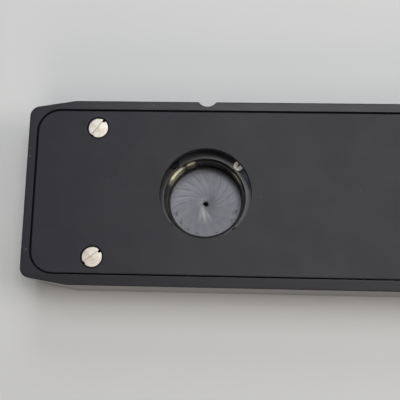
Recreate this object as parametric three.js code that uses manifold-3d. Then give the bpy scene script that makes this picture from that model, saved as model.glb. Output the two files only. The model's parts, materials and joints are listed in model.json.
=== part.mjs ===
// Iris-diaphragm slider: a flat bar with a recessed cover plate, a circular
// opening, and a twenty-leaf iris under it driven by a thumbwheel and rack.
// Units mm, +Z up, bar length along +X. Pieces are laid out from the nose end and
// the group is then shifted, so the origin is the middle of the bar's bottom face.
import * as THREE from 'three';
import { mergeVertices } from 'three/addons/utils/BufferGeometryUtils.js';
import Module from 'manifold-3d';

const wasm = await Module();
wasm.setup();

// ---------------------------------------------------------------- dimensions
const LENGTH = 136;            // bar length
const WIDTH = 40;              // bar width, the guided dimension
const THICK = 14;              // bar thickness
const EDGE_BEVEL = 0.3;        // bevel on the long edges
const NOSE_LEN = 10;           // length of the tapered leading end
const NOSE_CUT = 1.65;         // how far each side tapers in at the nose
const NOSE_R = 2.2;            // corner radius of the nose
const TAIL_R = 1.5;            // corner radius of the outer end

const POCKET_X0 = 1.75;        // cover pocket limits
const POCKET_X1 = LENGTH - 1.75;
const POCKET_Y0 = -17.75;
const POCKET_Y1 = 18.1;
const POCKET_R = 5.0;
const PLATE_SEAT = 12.0;       // z of the pocket floor
const PLATE_TOP = 13.7;
const PLATE_GAP = 0.25;
const PLATE_BEVEL = 0.08;

const OPENING_X = 38.5;        // opening in the cover plate, on the centre line
const OPENING_R = 9.75;
const NOTCH_R = 2.3;           // click-stop notch, in line with the opening
const NOTCH_DEPTH = 1.07;

const IRIS_X = 38.2;           // iris axis, a little off the opening's centre
const IRIS_Y = -0.35;

const SCREW_XS = [15, LENGTH - 12];   // cover screws
const SCREW_Y = 14;
const TAP_R = 1.22;            // threaded hole in the bar
const TAP_END = 7.6;
const PLATE_HOLE_R = 1.35;
const HEAD_GAP = 0.22;         // clearance round a cover screw's head

// slotted screws: head radius, head top and seat, shank radius and end, slot
const COVER_SCREW = { head: 2.15, top: 13.62, seat: 12.45, shank: 1.2, end: 8, slot: 0.6, deep: 0.55 };
const FLANGE_SCREW = { head: 1.05, top: 10.12, seat: 9.52, shank: 0.5, end: 7.2, slot: 0.3, deep: 0.3 };
const MOUNT_SCREW = { head: 0.7, top: 10.6, seat: 10.02, shank: 0.54, end: 6, slot: 0.26, deep: 0.28 };
const GUIDE_SCREW = { head: 1.2, top: 7.0, seat: 6.32, shank: 0.6, end: 3.1, slot: 0.35, deep: 0.35 };
const BRIDGE_SCREW = { head: 1.15, top: 11.92, seat: 11.52, shank: 0.6, end: 7.8, slot: 0.3, deep: 0.22 };
const COVER_SLOTS = [54, 39, 12, 118];   // slot directions, degrees
const FLANGE_SLOTS = [28, 100, 160, 60];

const FLOOR_T = 1.0;           // bar floor below the iris unit
const LIGHT_R = 9.0;           // hole in the bar floor
const BORE_R = 15.7;           // bore for the iris unit
const SEAT_R = 17.3;           // counterbore for the flange
const SEAT_Z = 9.0;

const HOUSING_R = 15.6;        // iris housing
const BASE_TOP = 2.2;          // top of its base, which carries the pivots
const BASE_HOLE_R = 8.6;
const PIVOT_HOLE = 0.85;       // depth of the pivot holes
const LEAF_SPACE_R = 13.5;
const RING_SEAT_Z = 4.35;
const RING_SPACE_R = 14.3;
const BARREL_SEAT_Z = 5.45;
const BARREL_BORE_R = 14.55;
const HOUSING_TOP = 8.9;
const WINDOW_A = -187;         // side window for the rack and the toothed sector
const WINDOW_B = 8;
const WINDOW_Z = 4.2;

const LEAVES = 20;             // iris leaves
const PIVOT_R = 10;            // pivot circle
const LEAF_RI = 8.2;           // inner edge radius of a leaf
const LEAF_RO = 11.8;          // outer edge radius of a leaf
const LEAF_T = 0.03;
const LEAF_SPAN = 150;         // pivot pin to drive pin, degrees
const DRIVE_R = 10;            // drive pin radius with the iris open
const PIN_R = 0.4;
const PIN_GAP = 0.08;
const PIVOT_PIN = 0.7;         // pin lengths
const DRIVE_PIN = 1.0;
const HOLE_SIZE = 0.55;        // smallest aperture radius
const LEAF_Z = 2.25;           // underside of a leaf at its pivot
const RISE_EVEN = 1.25;        // even part of the leaf's climb
const RISE_STEP = 0.68;        // extra climb beside the smallest aperture
const STEP_A = 52;
const STEP_B = 84;
// half width at the two ends of a leaf, by angle along it
const BLADE_ROOT = [[-6.5, 0.55], [-5, 1.2]];
const BLADE_TIP = [[133, 1.5], [142, 1.15], [150, 1.15], [155, 0.95], [156.5, 0.45]];
const BLADE_STATIONS = [
  0, 10, 20, 30, 40, 46, 50, 54, 58, 62, 66, 70, 74, 78, 82, 86, 90, 100, 111, 122,
];

const RING_Z0 = 4.4;           // cam ring
const RING_Z1 = 5.35;
const RING_RI = 7.85;
const RING_RO = 14.1;
const GUIDE_W = 0.46;          // cam slot half width
const SECTOR_FIRST = -2;       // first and last tooth of its sector
const SECTOR_LAST = 15;
const SECTOR_BLEND = 0.02;     // angle from the last tooth to the plain rim

const MODULE = 0.5;            // gear teeth
const RING_TEETH = 60;
const PINION_TEETH = 18;
const BACKLASH = 0.1;
const ADD = 0.45;
const DED = 0.62;
const PRESSURE = 20 * Math.PI / 180;
const PITCH = Math.PI * MODULE;

const BARREL_RI = 8.2;         // barrel ring
const BARREL_RO = 14.45;
const BARREL_Z0 = 5.5;
const BARREL_Z1 = 8.95;
const FLANGE_RI = 8.7;         // iris flange
const FLANGE_RO = 17.2;
const FLANGE_Z0 = 9.0;
const FLANGE_Z1 = 10.0;
const FSCREW_R = 10.1;         // small screws holding the flange to the barrel
const FSCREW_ANGLES = [45.3, 132.5, 221, 313];
const FSCREW_SEAT = 9.5;
const FSCREW_TAP = 6.9;
const MSCREW_R = 16.45;        // screws holding the flange to the bar
const MSCREW_ANGLES = [45, 135, 225, 315];
const MSCREW_TAP = 5.6;

const RACK_LINE = IRIS_Y - RING_TEETH * MODULE / 2;   // rack pitch line
const RACK_Z0 = 4.36;
const RACK_Z1 = 5.3;
const RACK_BACK = -17.5;
const RACK_X0 = 34.4;
const RACK_X1 = 130.6;
const TEETH_A = [35.2, 66];    // toothed lengths, at the cam ring and at the pinion
const TEETH_B = [98.8, 129.6];
const CH_Y0 = -17.7;           // rack channel
const CH_Y1 = -14.5;
const CH_Z = 4.3;
const CH_X0 = 20;
const TUNNEL_X0 = 11.2;        // closed run of the channel past each end
const TUNNEL_X1 = LENGTH - 4.5;
const TUNNEL_Z = 5.65;

const RAIL_XS = [62, 84];      // guides over the rack
const RAIL_HALF = 4;
const RAIL_Y0 = -17.4;
const RAIL_Y1 = -10;
const RAIL_Z0 = 5.48;
const RAIL_Z1 = 6.3;
const RAIL_SEAT = 5.45;
const RAIL_GAP = 0.2;
const RAIL_SCREW_Y = -12;
const RAIL_TAP = 2.7;

const WHEEL_X = IRIS_X + 42 * PITCH;   // thumbwheel and pinion
const WHEEL_Y = RACK_LINE + PINION_TEETH * MODULE / 2;
const WHEEL_R = 12;
const WHEEL_Z0 = 6.8;
const WHEEL_Z1 = 10.6;
const WHEEL_GAP = 0.6;
const WELL_Z0 = 6.5;
const WELL_Z1 = 10.95;
const FLUTES = 54;
const FLUTE_DEPTH = 0.45;
const DISH = [3.6, 9.4];       // dished face: inner and outer radius
const DISH_DEPTH = 0.9;
const PINION_TOP = 6.78;
const SHAFT_R = 1.2;
const SHAFT_Z0 = 2.4;
const SHAFT_Z1 = 11.85;
const FIT = 0.02;              // gap at the shaft, fixed pieces
const RUN = 0.06;              // gap at the shaft, bearings
const BUSH_R = 2.3;
const BUSH_Z0 = 2.22;
const BUSH_Z1 = 4.28;
const BUSH_HOLE_Z = 2.2;
const WASHER_R = 3.4;
const WASHER_Z0 = 10.66;
const WASHER_Z1 = 11.04;
const BRIDGE_HALF = 15.8;      // bearing bridge
const BRIDGE_WIDE = 2.7;
const BRIDGE_Z0 = 11.12;
const BRIDGE_Z1 = 11.94;
const BRIDGE_SEAT = 11.1;
const BRIDGE_GAP = 0.2;
const BRIDGE_SCREW_X = 14.2;
const BRIDGE_TAP = 7.4;
const SMALL_TAP_R = 0.62;      // threaded holes for the small screws
const SMALL_HOLE_R = 0.66;

const OVER = 1;                // how far a cutter runs past an outer face
const SKIM = 0.1;              // and past an inner one
const FINE = 96;               // facets round a large circle
const MEDIUM = 64;
const COARSE = 24;
const TINY = 16;
const DEG = Math.PI / 180;

// ------------------------------------------------------------------- helpers
const MAT = {
  black: new THREE.MeshStandardMaterial({ color: 0x2c2c30, metalness: 0.4, roughness: 0.55 }),
  plate: new THREE.MeshStandardMaterial({ color: 0x26272b, metalness: 0.4, roughness: 0.6 }),
  steel: new THREE.MeshStandardMaterial({ color: 0xc9c4bc, metalness: 0.9, roughness: 0.35 }),
  leaf: new THREE.MeshStandardMaterial({ color: 0x6c6e72, metalness: 0.8, roughness: 0.4 }),
  brass: new THREE.MeshStandardMaterial({ color: 0xa58a4c, metalness: 0.9, roughness: 0.4 }),
  dark: new THREE.MeshStandardMaterial({ color: 0x1b1b1d, metalness: 0.5, roughness: 0.5 }),
};

function solid(geo) {
  const g = geo.clone();
  g.deleteAttribute('normal');
  g.deleteAttribute('uv');
  const m = mergeVertices(g, 1e-4);
  const idx = m.index ? m.index.array : [...Array(m.attributes.position.count).keys()];
  return new wasm.Manifold(new wasm.Mesh({
    numProp: 3,
    vertProperties: new Float32Array(m.attributes.position.array),
    triVerts: new Uint32Array(idx),
  }));
}

function geometry(man) {
  const mesh = man.getMesh();
  const g = new THREE.BufferGeometry();
  g.setAttribute('position', new THREE.BufferAttribute(new Float32Array(mesh.vertProperties), 3));
  g.setIndex(new THREE.BufferAttribute(new Uint32Array(mesh.triVerts), 1));
  const flat = g.toNonIndexed();
  flat.computeVertexNormals();
  return flat;
}

function extrude(shape, z0, z1, bevel = 0) {
  const g = new THREE.ExtrudeGeometry(shape, {
    depth: z1 - z0 - 2 * bevel, steps: 1, curveSegments: 12,
    bevelEnabled: bevel > 0, bevelSegments: 1,
    bevelSize: bevel, bevelThickness: bevel, bevelOffset: -bevel,
  });
  g.translate(0, 0, z0 + bevel);
  return g;
}

function outline(points) {
  return new THREE.Shape(points.map(([x, y]) => new THREE.Vector2(x, y)));
}

function circlePoints(r, n, cx = 0, cy = 0) {
  const out = [];
  for (let k = 0; k < n; k++) {
    const a = 2 * Math.PI * k / n;
    out.push([cx + r * Math.cos(a), cy + r * Math.sin(a)]);
  }
  return out;
}

function disc(r, z0, z1, x, y, n) {
  return solid(extrude(outline(circlePoints(r, n, x, y)), z0, z1));
}

function box(x0, x1, y0, y1, z0, z1) {
  const g = new THREE.BoxGeometry(x1 - x0, y1 - y0, z1 - z0);
  g.translate((x0 + x1) / 2, (y0 + y1) / 2, (z0 + z1) / 2);
  return solid(g);
}

function ring(ri, ro, z0, z1, x, y, n) {
  const s = outline(circlePoints(ro, n, x, y));
  s.holes.push(outline(circlePoints(ri, n, x, y)));
  return solid(extrude(s, z0, z1));
}

const spin = ([x, y], a) => [
  x * Math.cos(a) - y * Math.sin(a), x * Math.sin(a) + y * Math.cos(a),
];

// points about the iris axis, in the bar's own layout
const fromAxis = ([x, y]) => [x + IRIS_X, y + IRIS_Y];
const onAxis = (r, z0, z1, n) => disc(r, z0, z1, IRIS_X, IRIS_Y, n);
const aroundAxis = (r, deg) => fromAxis(spin([r, 0], deg * DEG));

// corner points of a rounded rectangle
function roundRect(x0, x1, y0, y1, r) {
  const seg = 8;
  const out = [];
  const corner = (cx, cy, a0) => {
    for (let k = 0; k <= seg; k++) {
      const a = (a0 + 90 * k / seg) * DEG;
      out.push([cx + r * Math.cos(a), cy + r * Math.sin(a)]);
    }
  };
  corner(x1 - r, y1 - r, 0);
  corner(x0 + r, y1 - r, 90);
  corner(x0 + r, y0 + r, 180);
  corner(x1 - r, y0 + r, 270);
  return out;
}

// polygon with each corner rounded by its own radius
function roundPoly(corners) {
  const seg = 6;
  const out = [];
  const n = corners.length;
  for (let i = 0; i < n; i++) {
    const [x, y, r] = corners[i];
    if (!r) {
      out.push([x, y]);
      continue;
    }
    const a = new THREE.Vector2(...corners[(i + n - 1) % n].slice(0, 2));
    const b = new THREE.Vector2(...corners[(i + 1) % n].slice(0, 2));
    const p = new THREE.Vector2(x, y);
    const u = a.clone().sub(p).normalize();
    const v = b.clone().sub(p).normalize();
    const half = Math.acos(u.dot(v)) / 2;
    const c = p.clone().add(u.clone().add(v).normalize().multiplyScalar(r / Math.sin(half)));
    const s = p.clone().add(u.multiplyScalar(r / Math.tan(half))).sub(c);
    const e = p.clone().add(v.multiplyScalar(r / Math.tan(half))).sub(c);
    const t0 = Math.atan2(s.y, s.x);
    let t1 = Math.atan2(e.y, e.x);
    while (t1 < t0) t1 += 2 * Math.PI;
    for (let k = 0; k <= seg; k++) {
      const t = t0 + (t1 - t0) * k / seg;
      out.push([c.x + r * Math.cos(t), c.y + r * Math.sin(t)]);
    }
  }
  return out;
}

// convex outline round a set of points, counter-clockwise
function hull(points) {
  const pts = [...points].sort((p, q) => p[0] - q[0] || p[1] - q[1]);
  const cross = (o, p, q) => (p[0] - o[0]) * (q[1] - o[1]) - (p[1] - o[1]) * (q[0] - o[0]);
  const half = (list) => {
    const out = [];
    for (const p of list) {
      while (out.length > 1 && cross(out[out.length - 2], out[out.length - 1], p) <= 1e-9) {
        out.pop();
      }
      out.push(p);
    }
    out.pop();
    return out;
  };
  return [...half(pts), ...half(pts.reverse())];
}

const root = new THREE.Group();
root.name = 'iris_slider';

function add(name, man, material) {
  const mesh = new THREE.Mesh(geometry(man), material);
  mesh.name = name;
  root.add(mesh);
}

// slotted screw: head, shank and a slot across the head at the given angle
function screw(x, y, kind, angle) {
  const slot = new THREE.BoxGeometry(kind.head * 2.4, kind.slot, kind.deep * 2);
  slot.rotateZ(angle * DEG);
  slot.translate(x, y, kind.top);
  return disc(kind.head, kind.seat, kind.top, x, y, COARSE)
    .add(disc(kind.shank, kind.end, kind.seat + SKIM / 2, x, y, TINY))
    .subtract(solid(slot));
}

// ----------------------------------------------------------------- gear teeth
const inv = (a) => Math.tan(a) - a;

// half-tooth angle of an involute gear at radius r
function toothHalf(r, teeth) {
  const rp = teeth * MODULE / 2;
  const rb = rp * Math.cos(PRESSURE);
  const base = (PITCH / 2 - BACKLASH / 2) / (2 * rp) + inv(PRESSURE);
  return base - inv(Math.acos(Math.min(1, rb / Math.max(r, rb))));
}

// points of one tooth centred on angle a, counter-clockwise
function toothPoints(a, teeth) {
  const steps = 3;
  const rp = teeth * MODULE / 2;
  const rb = rp * Math.cos(PRESSURE);
  const rr = rp - DED;
  const ra = rp + ADD;
  const radii = [];
  const start = Math.max(rr, rb);
  for (let k = 0; k <= steps; k++) radii.push(start + (ra - start) * k / steps);
  if (rr < rb) radii.unshift(rr);
  const low = [];
  const high = [];
  for (const r of radii) {
    const h = toothHalf(r, teeth);
    low.push([r * Math.cos(a - h), r * Math.sin(a - h)]);
    high.unshift([r * Math.cos(a + h), r * Math.sin(a + h)]);
  }
  return [...low, ...high];
}

// rack tooth centred on x, teeth facing +Y, left to right
function rackTooth(x) {
  const half = (PITCH / 2 - BACKLASH / 2) / 2;
  const t = Math.tan(PRESSURE);
  return [
    [x - half - DED * t, RACK_LINE - DED], [x - half + ADD * t, RACK_LINE + ADD],
    [x + half - ADD * t, RACK_LINE + ADD], [x + half + DED * t, RACK_LINE - DED],
  ];
}

function rackTeeth([x0, x1]) {
  const out = [];
  const last = Math.floor((x1 - IRIS_X) / PITCH);
  for (let k = Math.ceil((x0 - IRIS_X) / PITCH); k <= last; k++) {
    out.push(...rackTooth(IRIS_X + k * PITCH));
  }
  return out;
}

// ------------------------------------------------------------- iris geometry
const CLOSE = 2 * Math.asin((LEAF_RI - HOLE_SIZE) / (2 * PIVOT_R));

// where a point of the first leaf, given in its open place, stands when closed by t
function leafPlace(p, t) {
  const q = spin([p[0] - PIVOT_R, p[1]], t);
  return [q[0] + PIVOT_R, q[1]];
}

const turn = (p) => Math.atan2(p[1], p[0]);
const driveOpen = spin([DRIVE_R, 0], LEAF_SPAN * DEG);
const driveClosed = leafPlace(driveOpen, CLOSE);
const RING_TURN = (turn(driveClosed) - turn(driveOpen) + 2 * Math.PI) % (2 * Math.PI);

// cam slot centre line in the ring, at rest with the iris closed
function slotLine() {
  const steps = 8;
  const out = [];
  for (let k = 0; k <= steps; k++) {
    const u = k / steps;
    out.push(spin(leafPlace(driveOpen, CLOSE * (1 - u)), RING_TURN * u));
  }
  return out;
}

// climb of a leaf along its span
function climb(deg) {
  const p = Math.min(LEAF_SPAN, Math.max(0, deg));
  const u = Math.min(1, Math.max(0, (p - STEP_A) / (STEP_B - STEP_A)));
  return RISE_EVEN * p / LEAF_SPAN + RISE_STEP * u * u * (3 - 2 * u);
}

function leafBlade() {
  const full = (LEAF_RO - LEAF_RI) / 2;
  const mid = (LEAF_RI + LEAF_RO) / 2;
  const stations = [...BLADE_ROOT, ...BLADE_STATIONS.map((a) => [a, full]), ...BLADE_TIP];
  const pos = [];
  const idx = [];
  for (const [a, h] of stations) {
    const z = climb(a);
    const c = Math.cos(a * DEG);
    const s = Math.sin(a * DEG);
    for (const [r, dz] of [[mid - h, 0], [mid + h, 0], [mid + h, LEAF_T], [mid - h, LEAF_T]]) {
      pos.push(r * c, r * s, z + dz);
    }
  }
  const last = 4 * (stations.length - 1);
  for (let a = 0; a < last; a += 4) {
    const b = a + 4;
    idx.push(a, b, a + 1, b, b + 1, a + 1);
    idx.push(a + 3, a + 2, b + 3, a + 2, b + 2, b + 3);
    idx.push(a + 1, b + 1, a + 2, b + 1, b + 2, a + 2);
    idx.push(a, a + 3, b, a + 3, b + 3, b);
  }
  idx.push(0, 1, 2, 0, 2, 3);
  idx.push(last, last + 2, last + 1, last, last + 3, last + 2);
  const g = new THREE.BufferGeometry();
  g.setAttribute('position', new THREE.BufferAttribute(new Float32Array(pos), 3));
  g.setIndex(idx);
  const top = climb(LEAF_SPAN);
  return solid(g)
    .add(disc(PIN_R, -PIVOT_PIN, LEAF_T, PIVOT_R, 0, 8))
    .add(disc(PIN_R, top, top + DRIVE_PIN, driveOpen[0], driveOpen[1], 8));
}

// ------------------------------------------------------------------ the bar
const barOutline = outline(roundPoly([
  [0, -WIDTH / 2 + NOSE_CUT, NOSE_R], [NOSE_LEN, -WIDTH / 2, 0],
  [LENGTH, -WIDTH / 2, TAIL_R], [LENGTH, WIDTH / 2, TAIL_R],
  [NOSE_LEN, WIDTH / 2, 0], [0, WIDTH / 2 - NOSE_CUT, NOSE_R],
]));
const pocketOutline = outline(roundRect(POCKET_X0, POCKET_X1, POCKET_Y0, POCKET_Y1, POCKET_R));
const ABOVE_SEAT = PLATE_SEAT + SKIM;

let bar = solid(extrude(barOutline, 0, THICK, EDGE_BEVEL))
  .subtract(solid(extrude(pocketOutline, PLATE_SEAT, THICK + OVER)))
  .subtract(disc(NOTCH_R, -OVER, THICK + OVER, OPENING_X, WIDTH / 2 + NOTCH_R - NOTCH_DEPTH, 40))
  .subtract(onAxis(LIGHT_R, -OVER, THICK, MEDIUM))
  .subtract(onAxis(BORE_R, FLOOR_T, THICK, FINE))
  .subtract(onAxis(SEAT_R, SEAT_Z, ABOVE_SEAT, FINE))
  .subtract(box(CH_X0, WHEEL_X + WHEEL_R, CH_Y0, CH_Y1, CH_Z, ABOVE_SEAT))
  .subtract(box(TUNNEL_X0, TUNNEL_X1, CH_Y0, CH_Y1, CH_Z, TUNNEL_Z));
for (const x of SCREW_XS) {
  for (const y of [SCREW_Y, -SCREW_Y]) {
    bar = bar.subtract(disc(TAP_R, TAP_END, ABOVE_SEAT, x, y, COARSE));
  }
}
// thumbwheel pocket, side window, bush hole and bridge recess
const wheelWell = disc(WHEEL_R + WHEEL_GAP, CH_Z, ABOVE_SEAT, WHEEL_X, WHEEL_Y, MEDIUM)
  .subtract(box(WHEEL_X - 2 * WHEEL_R, WHEEL_X + 2 * WHEEL_R, -WIDTH, CH_Y0, 0, THICK));
bar = bar
  .subtract(wheelWell)
  .subtract(disc(WHEEL_R + WHEEL_GAP, WELL_Z0, WELL_Z1, WHEEL_X, WHEEL_Y, MEDIUM))
  .subtract(disc(BUSH_R + FIT, BUSH_HOLE_Z, CH_Z + SKIM, WHEEL_X, WHEEL_Y, 32))
  .subtract(box(WHEEL_X - BRIDGE_HALF - BRIDGE_GAP, WHEEL_X + BRIDGE_HALF + BRIDGE_GAP,
    WHEEL_Y - BRIDGE_WIDE - BRIDGE_GAP, WHEEL_Y + BRIDGE_WIDE + BRIDGE_GAP,
    BRIDGE_SEAT, ABOVE_SEAT));
for (const dx of [-BRIDGE_SCREW_X, BRIDGE_SCREW_X]) {
  bar = bar.subtract(disc(SMALL_TAP_R, BRIDGE_TAP, BRIDGE_SEAT + SKIM, WHEEL_X + dx, WHEEL_Y, TINY));
}
for (const x of RAIL_XS) {
  bar = bar
    .subtract(box(x - RAIL_HALF - RAIL_GAP, x + RAIL_HALF + RAIL_GAP, CH_Y0,
      RAIL_Y1 + RAIL_GAP, RAIL_SEAT, ABOVE_SEAT))
    .subtract(disc(SMALL_TAP_R, RAIL_TAP, RAIL_SEAT + SKIM, x, RAIL_SCREW_Y, TINY));
}
for (const a of MSCREW_ANGLES) {
  const [x, y] = aroundAxis(MSCREW_R, a);
  bar = bar.subtract(disc(MOUNT_SCREW.shank + FIT, MSCREW_TAP, SEAT_Z + SKIM, x, y, TINY));
}
add('slider_body', bar, MAT.black);

// -------------------------------------------------------------- cover plate
const plateOutline = outline(roundRect(POCKET_X0 + PLATE_GAP, POCKET_X1 - PLATE_GAP,
  POCKET_Y0 + PLATE_GAP, POCKET_Y1 - PLATE_GAP, POCKET_R - PLATE_GAP));
let plate = solid(extrude(plateOutline, PLATE_SEAT + FIT, PLATE_TOP, PLATE_BEVEL))
  .subtract(disc(OPENING_R, PLATE_SEAT - OVER, THICK + OVER, OPENING_X, 0, FINE));
for (const x of SCREW_XS) {
  for (const y of [SCREW_Y, -SCREW_Y]) {
    plate = plate
      .subtract(disc(COVER_SCREW.head + HEAD_GAP, COVER_SCREW.seat - FIT, THICK, x, y, 32))
      .subtract(disc(PLATE_HOLE_R, PLATE_SEAT - OVER, THICK, x, y, COARSE));
  }
}
add('cover_plate', plate, MAT.plate);

SCREW_XS.forEach((x, k) => {
  [SCREW_Y, -SCREW_Y].forEach((y, j) => {
    const n = 2 * k + j;
    add(`cover_screw_${n + 1}`, screw(x, y, COVER_SCREW, COVER_SLOTS[n]), MAT.steel);
  });
});

// ------------------------------------------------------------- iris housing
let housing = onAxis(HOUSING_R, FLOOR_T + FIT, HOUSING_TOP, FINE)
  .subtract(onAxis(BASE_HOLE_R, 0, THICK, MEDIUM))
  .subtract(onAxis(LEAF_SPACE_R, BASE_TOP, THICK, FINE))
  .subtract(onAxis(RING_SPACE_R, RING_SEAT_Z, THICK, FINE))
  .subtract(onAxis(BARREL_BORE_R, BARREL_SEAT_Z, THICK, FINE));
const windowPts = [];
const WINDOW_STEPS = 40;
for (let k = 0; k <= WINDOW_STEPS; k++) {
  windowPts.push([HOUSING_R + OVER, WINDOW_A + (WINDOW_B - WINDOW_A) * k / WINDOW_STEPS]);
}
for (let k = WINDOW_STEPS; k >= 0; k--) {
  windowPts.push([RING_SPACE_R - SKIM, WINDOW_A + (WINDOW_B - WINDOW_A) * k / WINDOW_STEPS]);
}
const windowShape = outline(windowPts.map(([r, a]) => aroundAxis(r, a)));
housing = housing.subtract(solid(extrude(windowShape, WINDOW_Z, BARREL_SEAT_Z)));
for (let k = 0; k < LEAVES; k++) {
  const [x, y] = aroundAxis(PIVOT_R, 360 * k / LEAVES);
  housing = housing.subtract(disc(PIN_R + PIN_GAP, BASE_TOP - PIVOT_HOLE, BASE_TOP + SKIM, x, y, 8));
}
add('iris_housing', housing, MAT.dark);

// ------------------------------------------------------------------- leaves
const blade = leafBlade();
for (let k = 0; k < LEAVES; k++) {
  const g = geometry(blade);
  g.translate(-PIVOT_R, 0, 0);
  g.rotateZ(CLOSE);
  g.translate(PIVOT_R, 0, LEAF_Z);
  g.rotateZ(2 * Math.PI * k / LEAVES);
  g.translate(IRIS_X, IRIS_Y, 0);
  const mesh = new THREE.Mesh(g, MAT.leaf);
  mesh.name = `leaf_${String(k + 1).padStart(2, '0')}`;
  root.add(mesh);
}

// ----------------------------------------------------------------- cam ring
const toothStep = 2 * Math.PI / RING_TEETH;
const rootRadius = RING_TEETH * MODULE / 2 - DED;
const sectorEnd = -Math.PI / 2 + (SECTOR_LAST + 1) * toothStep;
const sectorStart = -Math.PI / 2 + SECTOR_FIRST * toothStep + 2 * Math.PI;
const ringPts = [];
for (let k = SECTOR_FIRST; k <= SECTOR_LAST; k++) {
  ringPts.push(...toothPoints(-Math.PI / 2 + (k + 0.5) * toothStep, RING_TEETH));
}
ringPts.push(spin([rootRadius, 0], sectorEnd));
const RIM_STEPS = 44;
const rimArc = sectorStart - sectorEnd - 2 * SECTOR_BLEND;
for (let k = 0; k <= RIM_STEPS; k++) {
  ringPts.push(spin([RING_RO, 0], sectorEnd + SECTOR_BLEND + rimArc * k / RIM_STEPS));
}
ringPts.push(spin([rootRadius, 0], sectorStart));
const ringShape = outline(ringPts.map(fromAxis));
ringShape.holes.push(outline(circlePoints(RING_RI, 72).map(fromAxis)));
const SLOT_FACETS = 10;
const slotRadius = GUIDE_W / Math.cos(Math.PI / SLOT_FACETS);
const slotHull = hull(slotLine().flatMap(([x, y]) => circlePoints(slotRadius, SLOT_FACETS, x, y)));
for (let k = 0; k < LEAVES; k++) {
  ringShape.holes.push(outline(slotHull.map((p) => fromAxis(spin(p, 2 * Math.PI * k / LEAVES)))));
}
add('cam_ring', solid(extrude(ringShape, RING_Z0, RING_Z1)), MAT.brass);

// ----------------------------------------------------- barrel ring and flange
let barrel = ring(BARREL_RI, BARREL_RO, BARREL_Z0, BARREL_Z1, IRIS_X, IRIS_Y, FINE);
let flange = ring(FLANGE_RI, FLANGE_RO, FLANGE_Z0, FLANGE_Z1, IRIS_X, IRIS_Y, FINE);
for (const a of FSCREW_ANGLES) {
  const [x, y] = aroundAxis(FSCREW_R, a);
  barrel = barrel.subtract(disc(FLANGE_SCREW.shank + FIT, FSCREW_TAP, THICK, x, y, TINY));
  flange = flange
    .subtract(disc(SMALL_TAP_R, BARREL_Z1, THICK, x, y, TINY))
    .subtract(disc(FLANGE_SCREW.head + SKIM, FSCREW_SEAT, THICK, x, y, COARSE));
}
for (const a of MSCREW_ANGLES) {
  const [x, y] = aroundAxis(MSCREW_R, a);
  flange = flange.subtract(disc(SMALL_TAP_R, BARREL_Z1, THICK, x, y, TINY));
}
add('barrel_ring', barrel, MAT.brass);
add('iris_flange', flange, MAT.black);
FSCREW_ANGLES.forEach((a, k) => {
  const [x, y] = aroundAxis(FSCREW_R, a);
  const material = k === 0 ? MAT.steel : MAT.dark;
  add(`flange_screw_${k + 1}`, screw(x, y, FLANGE_SCREW, FLANGE_SLOTS[k]), material);
});
MSCREW_ANGLES.forEach((a, k) => {
  const [x, y] = aroundAxis(MSCREW_R, a);
  add(`mount_screw_${k + 1}`, screw(x, y, MOUNT_SCREW, 20 + 35 * k), MAT.steel);
});

// --------------------------------------------------------------------- rack
const rackPts = [
  [RACK_X0, RACK_BACK], [RACK_X1, RACK_BACK], [RACK_X1, RACK_LINE - DED],
  ...[...rackTeeth(TEETH_A), ...rackTeeth(TEETH_B)].reverse(),
  [RACK_X0, RACK_LINE - DED],
];
add('drive_rack', solid(extrude(outline(rackPts), RACK_Z0, RACK_Z1)), MAT.steel);

RAIL_XS.forEach((x, k) => {
  const rail = box(x - RAIL_HALF, x + RAIL_HALF, RAIL_Y0, RAIL_Y1, RAIL_Z0, RAIL_Z1)
    .subtract(disc(SMALL_HOLE_R, 0, THICK, x, RAIL_SCREW_Y, TINY));
  add(`rack_guide_${k + 1}`, rail, MAT.brass);
  add(`guide_screw_${k + 1}`, screw(x, RAIL_SCREW_Y, GUIDE_SCREW, 30 + 80 * k), MAT.steel);
});

// --------------------------------------------------------------- thumbwheel
const knurl = [];
for (let k = 0; k < FLUTES; k++) {
  const a = 2 * Math.PI * k / FLUTES;
  knurl.push(spin([WHEEL_R, 0], a));
  knurl.push(spin([WHEEL_R - FLUTE_DEPTH, 0], a + Math.PI / FLUTES));
}
const fromShaft = ([x, y]) => [x + WHEEL_X, y + WHEEL_Y];
const onShaft = (r, z0, z1) => disc(r, z0, z1, WHEEL_X, WHEEL_Y, COARSE);
const dish = ring(DISH[0], DISH[1], WHEEL_Z1 - DISH_DEPTH, WHEEL_Z1 + OVER, WHEEL_X, WHEEL_Y, 48);
const wheel = solid(extrude(outline(knurl.map(fromShaft)), WHEEL_Z0, WHEEL_Z1))
  .subtract(dish)
  .subtract(onShaft(SHAFT_R + FIT, 0, THICK));
add('thumbwheel', wheel, MAT.black);

const pinionPts = [];
for (let k = 0; k < PINION_TEETH; k++) {
  const a = -Math.PI / 2 + (k + 0.5) * 2 * Math.PI / PINION_TEETH;
  pinionPts.push(...toothPoints(a, PINION_TEETH));
}
const pinion = solid(extrude(outline(pinionPts.map(fromShaft)), RACK_Z0, PINION_TOP))
  .subtract(onShaft(SHAFT_R + FIT, 0, THICK));
add('drive_pinion', pinion, MAT.brass);

add('wheel_shaft', onShaft(SHAFT_R, SHAFT_Z0, SHAFT_Z1), MAT.steel);
add('floor_bush', ring(SHAFT_R + RUN, BUSH_R, BUSH_Z0, BUSH_Z1, WHEEL_X, WHEEL_Y, 32), MAT.brass);
add('friction_washer', ring(SHAFT_R + RUN, WASHER_R, WASHER_Z0, WASHER_Z1, WHEEL_X, WHEEL_Y, 32),
  MAT.brass);

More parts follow.
